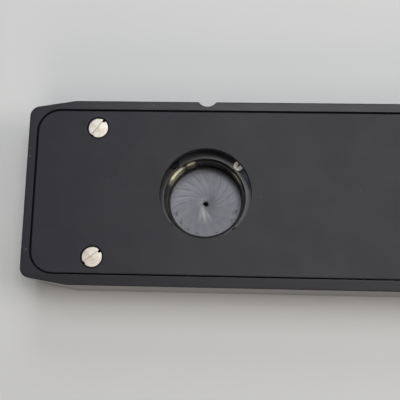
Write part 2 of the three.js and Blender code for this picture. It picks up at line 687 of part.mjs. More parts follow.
const bridgeScrewXs = [WHEEL_X - BRIDGE_SCREW_X, WHEEL_X + BRIDGE_SCREW_X];
let bridge = box(WHEEL_X - BRIDGE_HALF, WHEEL_X + BRIDGE_HALF, WHEEL_Y - BRIDGE_WIDE,
  WHEEL_Y + BRIDGE_WIDE, BRIDGE_Z0, BRIDGE_Z1)
  .subtract(onShaft(SHAFT_R + RUN, 0, THICK));
bridgeScrewXs.forEach((x, k) => {
  bridge = bridge
    .subtract(disc(SMALL_HOLE_R, 0, THICK, x, WHEEL_Y, TINY))
    .subtract(disc(BRIDGE_SCREW.head + SKIM, BRIDGE_SCREW.seat - FIT, THICK, x, WHEEL_Y, COARSE));
  add(`bridge_screw_${k + 1}`, screw(x, WHEEL_Y, BRIDGE_SCREW, 15 + 60 * k), MAT.steel);
});
add('bearing_bridge', bridge, MAT.brass);

root.position.x = -LENGTH / 2;

export default root;
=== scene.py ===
"""Iris-diaphragm slider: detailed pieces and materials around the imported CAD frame.

Pieces are modelled in millimetres from the nose end of the bar, with z = 0 at its
bottom face, and carried into the frame's metres when they are finished.
"""
import json
import math

import bmesh
import bpy
from mathutils import Matrix, Vector


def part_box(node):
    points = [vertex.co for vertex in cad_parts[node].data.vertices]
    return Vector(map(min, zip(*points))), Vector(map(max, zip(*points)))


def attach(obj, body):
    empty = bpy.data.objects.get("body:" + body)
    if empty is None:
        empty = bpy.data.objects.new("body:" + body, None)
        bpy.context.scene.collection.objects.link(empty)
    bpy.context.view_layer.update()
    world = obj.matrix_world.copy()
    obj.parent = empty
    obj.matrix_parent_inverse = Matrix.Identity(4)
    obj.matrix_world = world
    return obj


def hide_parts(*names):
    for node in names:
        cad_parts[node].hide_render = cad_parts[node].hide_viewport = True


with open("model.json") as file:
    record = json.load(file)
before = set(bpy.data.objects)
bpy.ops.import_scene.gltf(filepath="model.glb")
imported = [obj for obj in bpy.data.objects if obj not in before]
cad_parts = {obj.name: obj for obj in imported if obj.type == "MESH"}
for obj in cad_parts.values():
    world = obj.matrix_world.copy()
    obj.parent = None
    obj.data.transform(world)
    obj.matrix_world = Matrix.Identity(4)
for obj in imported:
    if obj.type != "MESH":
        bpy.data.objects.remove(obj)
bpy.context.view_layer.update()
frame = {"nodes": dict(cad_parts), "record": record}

MM = 0.001
DEG = math.pi / 180
SLOTS = {row["node"]: row["material_slot"] for row in frame["record"]["subparts"]}

# ------------------------------------------------------------ driving sizes (mm)
bar_low, bar_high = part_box("slider_body")
flange_low, flange_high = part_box("iris_flange")
barrel_low, barrel_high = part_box("barrel_ring")
wheel_low, wheel_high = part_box("thumbwheel")

NOSE_X = bar_low.x / MM
LENGTH = (bar_high.x - bar_low.x) / MM
WIDTH = (bar_high.y - bar_low.y) / MM
THICK = bar_high.z / MM
IRIS_X = (flange_low.x + flange_high.x) / 2 / MM - NOSE_X
IRIS_Y = (flange_low.y + flange_high.y) / 2 / MM

OVER, SKIM = 1, 0.1            # how far a cutter runs past an outer and an inner face

# The bar, its pocket and the cover plate in it.
NOSE_LEN, NOSE_CUT, NOSE_R, TAIL_R, BAR_EDGE = 10, 1.65, 2.2, 1.5, 0.3
POCKET_X0, POCKET_X1 = 1.75, LENGTH - 1.75
POCKET_Y0, POCKET_Y1, POCKET_R = -17.75, 18.1, 5.0
PLATE_SEAT = 12.0
PLATE_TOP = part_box("cover_plate")[1].z / MM
PLATE_LIFT, PLATE_GAP, PLATE_EDGE = 0.02, 0.25, 0.28
OPENING_X, OPENING_R = 38.5, 9.75
NOTCH_R, NOTCH_DEPTH = 2.3, 1.07
LIGHT_R, BORE_R, SEAT_R, SEAT_Z, FLOOR_T = 9.0, 15.7, 17.3, 9.0, 1.0
CHANNEL_X0, CHANNEL_PAST_WHEEL = 20, 12
CHANNEL_Y0, CHANNEL_Y1, CHANNEL_Z = -17.7, -14.5, 4.3
TUNNEL_X0, TUNNEL_X1, TUNNEL_Z = 11.2, LENGTH - 4.5, 5.65
RAIL_XS, RAIL_HALF, RAIL_Y1, RAIL_SEAT = (62, 84), 4.2, -9.8, 5.45

# The screws. The edge, dome and bevel of a head are shares of its radius.
HEAD_EDGE, HEAD_DOME, HEAD_BEVEL = 0.07, 0.018, 0.018
SCREW_X = (15, LENGTH - 12)
SCREW_Y = 14
SCREW_SLOTS = (54, 39, 12, 118)             # the cover screws' slots, degrees
TAP_R, TAP_Z, SHANK_HOLE_R = 1.22, 7.6, 1.35
HEAD_R, HEAD_SEAT, HEAD_GAP, SEAT_GAP = 2.15, 12.45, 0.26, 0.02
COVER_SCREW = dict(head_r=HEAD_R, top=13.62, seat=HEAD_SEAT, shank_r=1.2, end=8.0,
                   slot_w=0.6, slot_d=0.24, steps=72)
FLANGE_SCREW = dict(head_r=1.05, top=10.12, seat=9.52, shank_r=0.5, end=7.2,
                    slot_w=0.34, slot_d=0.14, steps=48)
MOUNT_SCREW = dict(head_r=0.7, top=10.6, seat=10.02, shank_r=0.54, end=6.0,
                   slot_w=0.26, slot_d=0.28, steps=32)

# The flange, with the dark line scored in it, and the barrel. Angles in degrees.
FLANGE_RI, FLANGE_RO, FLANGE_EDGE = 8.7, 17.2, 0.12
FLANGE_ANGLES = (45.3, 132.5, 221, 313)
FLANGE_SLOTS = (52, 100, 160, 60)
FLANGE_SCREW_R, FLANGE_HOLE_R, FLANGE_SINK_R, FLANGE_SINK_Z = 10.1, 0.62, 1.15, 9.5
FLANGE_CUT_Z0, FLANGE_CUT_Z1 = 8, 11        # from below the flange to above it
CLEFT = (1.16, 0.66)           # the bright flange screw's worn slot: length, half its mouth
SCORE_X, SCORE_Y, SCORE_TURN = 8.6, 4.1, -58
SCORE_HALF_LEN, SCORE_HALF_WIDTH, SCORE_Z = 3.3, 0.24, 9.4
MOUNT_SCREW_R = 16.45
BARREL_RI, BARREL_RO, BARREL_EDGE = 8.2, 14.45, 0.15

# The leaves. Angles along a leaf run from its pivot pin to its drive pin, in degrees.
LEAVES, PIVOT_R, LEAF_RI, LEAF_RO = 20, 10, 8.2, 11.8
LEAF_T, LEAF_SPAN, DRIVE_R, PIN_R = 0.03, 150, 10, 0.4
LEAF_LESS = 0.005              # taken off each face of the CAD leaf, to clear the next one
PIVOT_PIN, DRIVE_PIN = 0.7, 1.0
LEAF_ROOT = (-6.5, -6.2, -5.6, -4.5, -3, -1.5)
LEAF_TIP = (150, 151.5, 153, 154.5, 155.6, 156.2, 156.5)
TAPER_A, TAPER_LEN, TIP_HALF, END_LEN = 118, 24, 1.12, 6.6
HOLE_SIZE, LEAF_Z = 0.55, 2.25
RISE_EVEN, RISE_STEP, STEP_A, STEP_B = 1.25, 0.68, 52, 84
CALM = 0.55                    # how far the leaves' shading is turned towards level
CLOSE = 2 * math.asin((LEAF_RI - HOLE_SIZE) / (2 * PIVOT_R))

# The thumbwheel, and the room the bar leaves for it and its bearings.
WHEEL_X = (wheel_low.x + wheel_high.x) / 2 / MM - NOSE_X
WHEEL_Y = (wheel_low.y + wheel_high.y) / 2 / MM
WHEEL_R = (wheel_high.x - wheel_low.x) / 2 / MM
WHEEL_Z0, WHEEL_Z1 = wheel_low.z / MM, wheel_high.z / MM
WHEEL_EDGE, FLUTES, FLUTE_POINTS, FLUTE_DEPTH = 0.35, 54, 6, 0.45
DISH_R0, DISH_R1, DISH_DEPTH, WHEEL_HOLE_R = 3.6, 9.4, 0.9, 1.22
WELL_GAP, WELL_Z0, WELL_Z1 = 0.6, 6.5, 10.95
TRIM_HALF, TRIM_Y, TRIM_Z0, TRIM_Z1 = 20, -30, 4, 13    # trims the well to the channel
BUSH_HOLE_R, BUSH_HOLE_Z = 2.32, 2.2
BRIDGE_HALF, BRIDGE_WIDE, BRIDGE_Z0, BRIDGE_Z1 = 16, 2.9, 11.1, 12.1

# The photograph's view, fitted to the edges of the bar.
VIEW_X, VIEW_Y, VIEW_FROM = 37.4, -1.6, (8.2, -32.7, 163.6)
VIEW_DISTANCE, VIEW_ROLL, VIEW_LENS, SENSOR = 167.0, -12.9, 71.5, 36


# ------------------------------------------------------------------ mesh helpers
def arc(cx, cy, r, a0, a1, steps):
    """Points of an arc in degrees, both ends included."""
    out = []
    for k in range(steps + 1):
        a = (a0 + (a1 - a0) * k / steps) * DEG
        out.append((cx + r * math.cos(a), cy + r * math.sin(a)))
    return out


def circle(r, steps, cx=0.0, cy=0.0):
    return arc(cx, cy, r, 0, 360, steps)[:-1]


def about_iris(r, a):
    """The point at radius r and angle a in degrees about the iris axis."""
    return IRIS_X + r * math.cos(a * DEG), IRIS_Y + r * math.sin(a * DEG)


def quarter(steps=4):
    """Angles across a rounded edge, from 0 to 90 degrees."""
    return [k * 90 / steps * DEG for k in range(steps + 1)]


def round_rect(x0, x1, y0, y1, r, steps=14):
    return (arc(x1 - r, y1 - r, r, 0, 90, steps) + arc(x0 + r, y1 - r, r, 90, 180, steps)
            + arc(x0 + r, y0 + r, r, 180, 270, steps) + arc(x1 - r, y0 + r, r, 270, 360, steps))


def round_corners(corners, steps=10):
    """A counter-clockwise polygon of (x, y, radius) with its corners rounded."""
    out = []
    for i, (x, y, r) in enumerate(corners):
        p = Vector((x, y))
        if not r:
            out.append((x, y))
            continue
        u = (Vector(corners[i - 1][:2]) - p).normalized()
        v = (Vector(corners[(i + 1) % len(corners)][:2]) - p).normalized()
        half = u.angle(v) / 2
        c = p + (u + v).normalized() * r / math.sin(half)
        s = p + u * r / math.tan(half) - c
        e = p + v * r / math.tan(half) - c
        a0 = math.atan2(s.y, s.x) / DEG
        a1 = math.atan2(e.y, e.x) / DEG
        if a1 < a0:
            a1 += 360
        out += arc(c.x, c.y, r, a0, a1, steps)
    return out


def new_object(name, verts, faces):
    mesh = bpy.data.meshes.new(name)
    mesh.from_pydata(verts, [], faces)
    mesh.update()
    obj = bpy.data.objects.new(name, mesh)
    bpy.context.scene.collection.objects.link(obj)
    return obj


def loft(name, rings, closed=False):
    """Joins rings of points of equal length; closed=False caps both ends."""
    n = len(rings[0])
    verts = [p for ring in rings for p in ring]
    faces = []
    for j in range(len(rings) - 1 + closed):
        a, b = j * n, ((j + 1) % len(rings)) * n
        for k in range(n):
            m = (k + 1) % n
            faces.append((a + k, a + m, b + m, b + k))
    if not closed:
        faces.append(tuple(reversed(range(n))))
        faces.append(tuple(range((len(rings) - 1) * n, len(rings) * n)))
    return new_object(name, verts, faces)


def prism(name, outline, z0, z1):
    return loft(name, [[(x, y, z0) for x, y in outline], [(x, y, z1) for x, y in outline]])


def turned(name, profile, steps, cx=0.0, cy=0.0):
    """A ring turned from a closed profile of (r, z), counter-clockwise in that plane."""
    rings = []
    for k in range(steps):
        a = 2 * math.pi * k / steps
        rings.append([(cx + r * math.cos(a), cy + r * math.sin(a), z) for r, z in profile])
    return loft(name, rings, closed=True)


def box(name, x0, x1, y0, y1, z0, z1):
    return prism(name, [(x0, y0), (x1, y0), (x1, y1), (x0, y1)], z0, z1)


def apply_modifiers(obj):
    graph = bpy.context.evaluated_depsgraph_get()
    mesh = bpy.data.meshes.new_from_object(obj.evaluated_get(graph))
    old = obj.data
    obj.modifiers.clear()
    obj.data = mesh
    bpy.data.meshes.remove(old)


def fix_normals(obj):
    bm = bmesh.new()
    bm.from_mesh(obj.data)
    bmesh.ops.recalc_face_normals(bm, faces=bm.faces)
    bm.to_mesh(obj.data)
    bm.free()


def cut(obj, tool, operation="DIFFERENCE"):
    """Cuts the tool out of obj, or joins it on, and removes the tool."""
    fix_normals(obj)
    fix_normals(tool)
    mod = obj.modifiers.new("cut", "BOOLEAN")
    mod.object = tool
    mod.operation = operation
    mod.solver = "EXACT"
    apply_modifiers(obj)
    mesh = tool.data
    bpy.data.objects.remove(tool)
    bpy.data.meshes.remove(mesh)


def tidy(obj, merge=0.0008):
    """Merges doubled points and drops collapsed edges."""
    bm = bmesh.new()
    bm.from_mesh(obj.data)
    bmesh.ops.remove_doubles(bm, verts=bm.verts, dist=merge)
    bmesh.ops.dissolve_degenerate(bm, edges=bm.edges, dist=merge)
    bm.to_mesh(obj.data)
    bm.free()


def soften(obj, width, angle=38):
    """Breaks the sharp edges and keeps the flat faces flat in shading."""
    tidy(obj)
    mod = obj.modifiers.new("edge", "BEVEL")
    mod.width = width
    mod.segments = 2
    mod.limit_method = "ANGLE"
    mod.angle_limit = angle * DEG
    mod.miter_outer = "MITER_ARC"
    apply_modifiers(obj)
    obj.data.shade_smooth()
    mod = obj.modifiers.new("normals", "WEIGHTED_NORMAL")
    mod.keep_sharp = True
    mod.weight = 80
    apply_modifiers(obj)


def settle(obj, body, material, replaces, origin=(0.0, 0.0, 0.0)):
    """Carries a finished piece into the frame, with its own origin, and lets it ride."""
    shift = Vector(origin)
    obj.data.transform(Matrix.Translation(-shift))
    obj.data.transform(Matrix.Scale(MM, 4))
    obj.location = ((NOSE_X + shift.x) * MM, shift.y * MM, shift.z * MM)
    obj.data.materials.clear()
    obj.data.materials.append(material)
    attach(obj, body)
    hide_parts(replaces)


# --------------------------------------------------------------------- materials
class Nodes:
    """A small helper for building a material's nodes."""

    def __init__(self, name):
        self.material = bpy.data.materials.new(name)
        self.material.use_nodes = True
        self.tree = self.material.node_tree
        self.tree.nodes.clear()
        out = self.tree.nodes.new("ShaderNodeOutputMaterial")
        self.shader = self.tree.nodes.new("ShaderNodeBsdfPrincipled")
        self.link(self.shader.outputs[0], out.inputs[0])
        self.coords = self.tree.nodes.new("ShaderNodeTexCoord").outputs["Object"]

    def link(self, a, b):
        self.tree.links.new(a, b)

    def node(self, kind, inputs=None, **settings):
        n = self.tree.nodes.new(kind)
        for key, value in settings.items():
            setattr(n, key, value)
        for key, value in (inputs or {}).items():
            if isinstance(value, bpy.types.NodeSocket):
                self.link(value, n.inputs[key])
            else:
                n.inputs[key].default_value = value
        return n

    def noise(self, scale, detail=3.0, rough=0.5, vector=None):
        return self.node("ShaderNodeTexNoise", {
            "Vector": vector or self.coords, "Scale": scale, "Detail": detail,
            "Roughness": rough}).outputs["Fac"]

    def stretch(self, scale, rotation):
        return self.node("ShaderNodeMapping", {
            "Vector": self.coords, "Scale": scale, "Rotation": rotation}).outputs[0]

    def band(self, value, low, high, to_low=0.0, to_high=1.0):
        return self.node("ShaderNodeMapRange", {
            "Value": value, "From Min": low, "From Max": high, "To Min": to_low,
            "To Max": to_high}, interpolation_type="SMOOTHSTEP").outputs[0]

    def math(self, operation, a, b=0.0):
        return self.node("ShaderNodeMath", {0: a, 1: b}, operation=operation).outputs[0]

    def mix(self, fac, a, b):
        """Mixes two colours, each a socket or three numbers."""
        n = self.node("ShaderNodeMix", {0: fac}, data_type="RGBA")
        for socket, value in ((n.inputs[6], a), (n.inputs[7], b)):
            if isinstance(value, bpy.types.NodeSocket):
                self.link(value, socket)
            else:
                socket.default_value = (*value, 1.0)
        return n.outputs[2]

    def blend(self, fac, a, b):
        """Mixes two values, each a socket or a number."""
        n = self.node("ShaderNodeMix", {0: fac, 2: a, 3: b}, data_type="FLOAT")
        return n.outputs[0]

    def along(self, axis):
        """The piece's own X, Y or Z coordinate, in metres."""
        return self.node("ShaderNodeSeparateXYZ", {0: self.coords}).outputs[axis]

    def upright(self):
        """One on the piece's upright faces, nothing on its level ones."""
        normal = self.node("ShaderNodeTexCoord").outputs["Normal"]
        z = self.node("ShaderNodeSeparateXYZ", {0: normal}).outputs["Z"]
        return self.band(self.math("ABSOLUTE", z), 0.15, 0.6, 1.0, 0.0)

    def radius(self):
        """Distance from the piece's own vertical axis."""
        xy = self.node("ShaderNodeVectorMath", {0: self.coords, 1: (1.0, 1.0, 0.0)},
                       operation="MULTIPLY").outputs[0]
        return self.node("ShaderNodeVectorMath", {0: xy}, operation="LENGTH").outputs["Value"]

    def mark(self, x, y, long, short, angle, soft=0.3):
        """A soft elliptical mark at a place on the piece, through its whole depth.

        Sizes are in millimetres. soft is the share of its radius at full strength.
        """
        place = self.node("ShaderNodeMapping", {
            "Vector": self.coords, "Location": (x * MM, y * MM, 0.0),
            "Rotation": (0.0, 0.0, angle * DEG),
            "Scale": (long * MM / 2, short * MM / 2, 0.5)},
            vector_type="TEXTURE").outputs[0]
        away = self.node("ShaderNodeVectorMath", {0: place}, operation="LENGTH")
        return self.band(away.outputs["Value"], soft, 1.0, 1.0, 0.0)

    def marks(self, places):
        """The strongest of several marks, each (strength, x, y, long, short, angle)."""
        total = 0.0
        for strength, *place in places:
            one = self.math("MULTIPLY", self.mark(*place), strength)
            total = self.math("MAXIMUM", one, total)
        return total

    def bump(self, height, strength, distance, normal=None):
        n = self.node("ShaderNodeBump", {"Height": height, "Strength": strength,
                                         "Distance": distance})
        if normal:
            self.link(normal, n.inputs["Normal"])
        return n.outputs[0]

    def finish(self, colour, roughness, normal=None, metallic=0.0):
        """Fills in the shader and returns the material."""
        self.shader.inputs["Metallic"].default_value = metallic
        self.link(colour, self.shader.inputs["Base Color"])
        if isinstance(roughness, bpy.types.NodeSocket):
            self.link(roughness, self.shader.inputs["Roughness"])
        else:
            self.shader.inputs["Roughness"].default_value = roughness
        if normal:
            self.link(normal, self.shader.inputs["Normal"])
        return self.material


def anodised(name, dark, light, roughness=0.42, grain=0.3, wear_and_lit_marks=(), side=None,
             sheen=0.5, deeper=None, wear_and_lit_tone=(0.20, 0.20, 0.20), shaded_dull_rim=None):
    """Black anodised aluminium: fine grain, a faintly cloudy tone, dust, handling marks.

    side is the colour and roughness of the upright faces, their lighter colour a painted
    reflection; shaded_dull_rim is the near rim's darker colour, painted shade, and its
    roughness; deeper is a darker colour towards the nose, painted shade. wear_and_lit_marks
    lists marks that show wear_and_lit_tone: worn bare places, and on the flange a painted pool
    of light.
    """
    m = Nodes(name)
    cloud = m.noise(38, 3, 0.5)
    tone = m.mix(m.band(cloud, 0.3, 0.7), dark, light)
    # Darker towards the nose: painted shade.
    if deeper:
        tone = m.mix(m.band(m.along("X"), 0.0, 0.045), deeper, tone)
    speck = m.band(m.noise(1100, 1, 0.4), 0.80, 0.84)
    tone = m.mix(m.math("MULTIPLY", speck, 0.10), tone, (0.20, 0.20, 0.19))
    # Marks in another colour: worn bare places, and on the flange a painted pool of light.
    if wear_and_lit_marks:
        tone = m.mix(m.marks(wear_and_lit_marks), tone, wear_and_lit_tone)
    rough = m.band(m.noise(160, 3, 0.55), 0.3, 0.7, roughness - 0.02, roughness + 0.03)
    # The near rim: a darker colour, painted shade, and a higher roughness for a duller finish.
    if shaded_dull_rim:
        near = m.band(m.along("Y"), -0.0182, -0.0172, 1.0, 0.0)
        tone = m.mix(near, tone, shaded_dull_rim[0])
        rough = m.blend(near, rough, shaded_dull_rim[1])
    # The upright faces take a lighter, warmer colour: a painted reflection of the floor.
    if side:
        upright = m.upright()
        tone = m.mix(upright, tone, side[0])
        rough = m.blend(upright, rough, side[1])
    normal = m.bump(m.noise(2600, 2, 0.6), grain, 0.00002)
    m.shader.inputs["Specular IOR Level"].default_value = sheen
    return m.finish(tone, rough, normal)


def turned_metal(name, base, tint, roughness=0.3, pitch=0.00011, strength=0.35, stain=0.3,
                 grime_and_shade=None, metallic=1.0):
    """Bright turned metal: the tool's fine rings, a few stains, dirt and painted shade on its
    walls.
    """
    m = Nodes(name)
    wobble = m.math("MULTIPLY", m.noise(900, 2, 0.5), 0.00003)
    rings = m.math("SINE", m.math("MULTIPLY", m.math("ADD", m.radius(), wobble),
                                  2 * math.pi / pitch))
    fine = m.noise(3200, 2, 0.6)
    spots = m.band(m.noise(700, 4, 0.65), 0.48, 0.72)
    tone = m.mix(m.math("MULTIPLY", spots, stain), base, tint)
    if grime_and_shade:
        arcs = m.math("SINE", m.math("MULTIPLY", m.radius(), 2 * math.pi / (0.62 * MM)))
        arcs = m.math("MULTIPLY", m.band(arcs, 0.2, 1.0),
                      m.band(m.noise(420, 3, 0.6), 0.4, 0.7))
        tone = m.mix(m.math("MULTIPLY", arcs, 0.55), tone, tint)
        # Upright walls take the darker colour: partly dirt, partly painted shade in the slot.
        tone = m.mix(m.upright(), tone, grime_and_shade)
        # Black deep in the slot's notches: painted shade.
        notch_shade = m.band(m.along("Z"), -0.55 * MM, -0.40 * MM, 1.0, 0.0)
        tone = m.mix(notch_shade, tone, (0.004, 0.004, 0.004))
    rough = m.band(m.noise(500, 3, 0.6), 0.3, 0.75, roughness, roughness + 0.16)
    normal = m.bump(rings, strength, 0.000004)
    normal = m.bump(fine, 0.15, 0.00001, normal)
    return m.finish(tone, rough, normal, metallic=metallic)


def blackened_brass(name, brass, black, brass_highlights=(), roughness=0.34):
    """Chemically blackened brass, turned, with the yellow metal painted in at a few places as a
    highlight.
    """
    m = Nodes(name)
    tone = m.mix(m.band(m.noise(330, 4, 0.6), 0.35, 0.75), black, tuple(2 * c for c in black))
    # Brass colour at the listed marks: a painted highlight.
    if brass_highlights:
        highlight = m.math("MULTIPLY", m.marks(brass_highlights), m.band(m.noise(420, 4, 0.6), 0.2, 0.6))
        tone = m.mix(highlight, tone, brass)
    rough = m.band(m.noise(600, 3, 0.5), 0.3, 0.7, roughness - 0.06, roughness + 0.1)
    turning = m.math("SINE", m.math("MULTIPLY", m.radius(), 2 * math.pi / 0.00014))
    normal = m.bump(m.noise(2400, 2, 0.6), 0.2, 0.00002, m.bump(turning, 0.2, 0.000004))
    return m.finish(tone, rough, normal, metallic=0.7)


def rolled_foil(name, dark, light, edge, dark_marks=(), streak=None, roughness=0.46):
    """Thin blued foil of the iris leaves: a dull oxide tone and a painted shadow line along the
    inner edge.
    """
    m = Nodes(name)
    lines = m.noise(1.0, 3, 0.55, m.stretch((180, 2600, 180), (0.0, 0.0, 0.5)))
    tone = m.mix(m.band(m.noise(260, 4, 0.6), 0.3, 0.75), dark, light)
    # A dark line along the inner edge, stronger on some leaves: the painted shadow of the leaf
    # edges.
    rim = m.band(m.radius(), (LEAF_RI + 0.03) * MM, (LEAF_RI + 0.17) * MM, 1.0, 0.0)
    rim = m.math("MULTIPLY", rim, m.band(m.noise(300, 3, 0.6), 0.25, 0.6, 0.2, 1.0))
    tone = m.mix(m.math("MULTIPLY", rim, edge), tone, (0.020, 0.018, 0.018))
    # Small dark marks near the rim of the leaf disc.
    if dark_marks:
        tone = m.mix(m.marks(dark_marks), tone, (0.030, 0.020, 0.013))
    # A lighter streak: a painted highlight.
    if streak:
        tone = m.mix(m.marks((streak,)), tone, (0.46, 0.44, 0.41))
    rough = m.band(lines, 0.3, 0.7, roughness - 0.04, roughness + 0.05)
    normal = m.bump(lines, 0.15, 0.000006)
    return m.finish(tone, rough, normal, metallic=1.0)


# Marks on the pieces: (strength, x, y, long, short, angle), in millimetres and degrees.
# The leaves' streak, a painted highlight, has no strength of its own, and ends with its
# softness.
PLATE_MARKS = (
    (0.09, 20.1, 4.7, 2.2, 0.14, -66), (0.09, 20.9, 2.8, 2.4, 0.14, -82),
    (0.18, 17.9, 2.3, 0.5, 0.35, 20), (0.12, 10.3, 4.4, 0.45, 0.35, 60),
    (0.18, 71.0, 1.1, 0.5, 0.4, 0), (0.16, 50.2, -0.7, 0.7, 0.4, 15),
    (0.20, 35.8, 17.4, 0.6, 0.3, 10), (0.06, 23.2, 0.4, 10.0, 0.12, 1),
    (0.07, 53.7, 0.85, 8.0, 0.12, 1), (0.08, 50.9, 2.1, 2.6, 0.12, 118),
    (0.09, 92.0, -6.0, 5.0, 0.12, 35), (0.09, 118.0, 4.0, 3.4, 0.14, -28))
BAR_MARKS = (
    (0.55, 1.1, -12.7, 0.8, 0.3, 80), (0.55, 0.6, 7.5, 0.7, 0.3, 95),
    (0.35, 0.7, 9.2, 0.5, 0.25, 85), (0.35, 11.2, -18.8, 0.6, 0.25, 5),
    (0.35, 26.9, 19.0, 0.6, 0.25, 0), (0.25, 64.0, -19.0, 1.6, 0.2, 3),
    (0.25, 97.0, 19.1, 1.1, 0.2, -4))
# A lighter bluish patch on the flange by its upper right screw: a painted pool of light.
FLANGE_LIT_PATCH = ((0.7, 8.9, 4.9, 5.0, 1.3, -58),)
# Brass colour on the barrel's bore wall, upper left and right: a painted highlight.
BARREL_HIGHLIGHTS = (
    (1.0, -6.4, 5.2, 6.0, 6.0, 0), (0.5, -3.2, 7.6, 2.6, 2.6, 0),
    (0.16, 6.8, 4.6, 4.0, 4.0, 0))
# Small dark marks near the rim of the leaf disc.
LEAF_DARK_MARKS = ((0.6, -4.0, 7.72, 1.3, 0.8, 62), (0.45, -3.5, 8.15, 0.9, 0.5, 20))
LEAF_TICKS = ((0.75, -4.0, 7.74, 0.9, 0.36, 62),)
# A light streak across the inner ends of a few leaves: a painted highlight.
LEAF_STREAK = (1.1, 8.42, 5.6, 1.5, 165, 0.0)

MATERIALS = {
    # The bar's upright faces are lighter, a painted reflection, and its near rim darker,
    # painted shade.
    "anodised_bar": anodised("anodised_bar", (0.0104, 0.0093, 0.0140),
                             (0.0134, 0.0121, 0.0168), roughness=0.34, grain=0.12,
                             wear_and_lit_marks=BAR_MARKS, side=((0.028, 0.0255, 0.023), 0.09),
                             sheen=0.31, shaded_dull_rim=((0.0062, 0.0056, 0.0092), 0.50)),
    # The plate darkens towards the nose: painted shade.
    "anodised_plate": anodised("anodised_plate", (0.0112, 0.0106, 0.0157),
                               (0.0126, 0.0119, 0.0171), roughness=0.66, grain=0.3,
                               wear_and_lit_marks=PLATE_MARKS, deeper=(0.0044, 0.0048, 0.0098)),
    "anodised_flange": anodised("anodised_flange", (0.010, 0.010, 0.012),
                                (0.014, 0.014, 0.017), roughness=0.30,
                                wear_and_lit_marks=FLANGE_LIT_PATCH, wear_and_lit_tone=(0.10, 0.14, 0.19)),
    "anodised_wheel": anodised("anodised_wheel", (0.020, 0.020, 0.023), (0.028, 0.028, 0.031),
                               roughness=0.36),
    "blackened_housing": anodised("blackened_housing", (0.006, 0.006, 0.0065),
                                  (0.009, 0.009, 0.0095), roughness=0.6),
    "blackened_brass": blackened_brass("blackened_brass", (0.66, 0.62, 0.44),
                                       (0.0050, 0.0043, 0.0038), BARREL_HIGHLIGHTS, 0.42),
    "blackened_ring": blackened_brass("blackened_ring", (0.50, 0.42, 0.24),
                                      (0.006, 0.0056, 0.0054)),
    "brass": turned_metal("brass", (0.62, 0.46, 0.20), (0.34, 0.23, 0.10), roughness=0.34),
    # The leaf variants' base tones differ a little from leaf to leaf: painted light and shade
    # across the leaf disc.
    "leaf_steel": rolled_foil("leaf_steel", (0.114, 0.117, 0.131), (0.136, 0.139, 0.153), 0.14),
    # leaf_lined has the strongest painted shadow line at the inner edge.
    "leaf_lined": rolled_foil("leaf_lined", (0.124, 0.127, 0.142), (0.147, 0.150, 0.166), 0.5),
    "leaf_ticked": rolled_foil("leaf_ticked", (0.106, 0.108, 0.121), (0.126, 0.128, 0.141),
                               0.12, LEAF_TICKS),
    "leaf_dark_marked": rolled_foil("leaf_dark_marked", (0.114, 0.116, 0.129), (0.136, 0.137, 0.150),
                                0.12, LEAF_DARK_MARKS),
    "leaf_streaked": rolled_foil("leaf_streaked", (0.108, 0.110, 0.122), (0.128, 0.129, 0.141),
                             0.10, (), (0.17, *LEAF_STREAK)),
    "leaf_streaked_ticked": rolled_foil("leaf_streaked_ticked", (0.112, 0.112, 0.124), (0.132, 0.132, 0.144),
                               0.10, LEAF_TICKS, (0.36, *LEAF_STREAK)),
    "rack_steel": turned_metal("rack_steel", (0.46, 0.46, 0.45), (0.26, 0.25, 0.24),
                               roughness=0.4, pitch=0.0005, strength=0.1),
    "steel": turned_metal("steel", (0.55, 0.55, 0.55), (0.35, 0.34, 0.33), roughness=0.28),
    "screw_steel": turned_metal("screw_steel", (0.60, 0.56, 0.50), (0.42, 0.355, 0.28),
                                roughness=0.40, stain=0.6,
                                grime_and_shade=(0.10, 0.075, 0.045)),
    "blackened_screw": turned_metal("blackened_screw", (0.012, 0.0115, 0.011),
                                    (0.04, 0.037, 0.034), roughness=0.36,
                                    grime_and_shade=(0.006, 0.006, 0.006)),
    "nickel": turned_metal("nickel", (0.93, 0.92, 0.90), (0.70, 0.67, 0.62), roughness=0.36,
                           stain=0.2, grime_and_shade=(0.05, 0.045, 0.04), metallic=0.15),
}


# ----------------------------------------------------------------------- the bar
def bar_outline(inset):
    """The bar seen from above, drawn in from its edges by inset."""
    side = WIDTH / 2 - inset
    slope = math.atan2(NOSE_CUT, NOSE_LEN)
    nose_side = WIDTH / 2 - NOSE_CUT - inset / math.cos(slope) + inset * math.tan(slope)
    shoulder = NOSE_LEN + inset * math.tan(slope / 2)
    return round_corners([
        (inset, -nose_side, NOSE_R - inset), (shoulder, -side, 0),
        (LENGTH - inset, -side, TAIL_R - inset), (LENGTH - inset, side, TAIL_R - inset),
        (shoulder, side, 0), (inset, nose_side, NOSE_R - inset)])


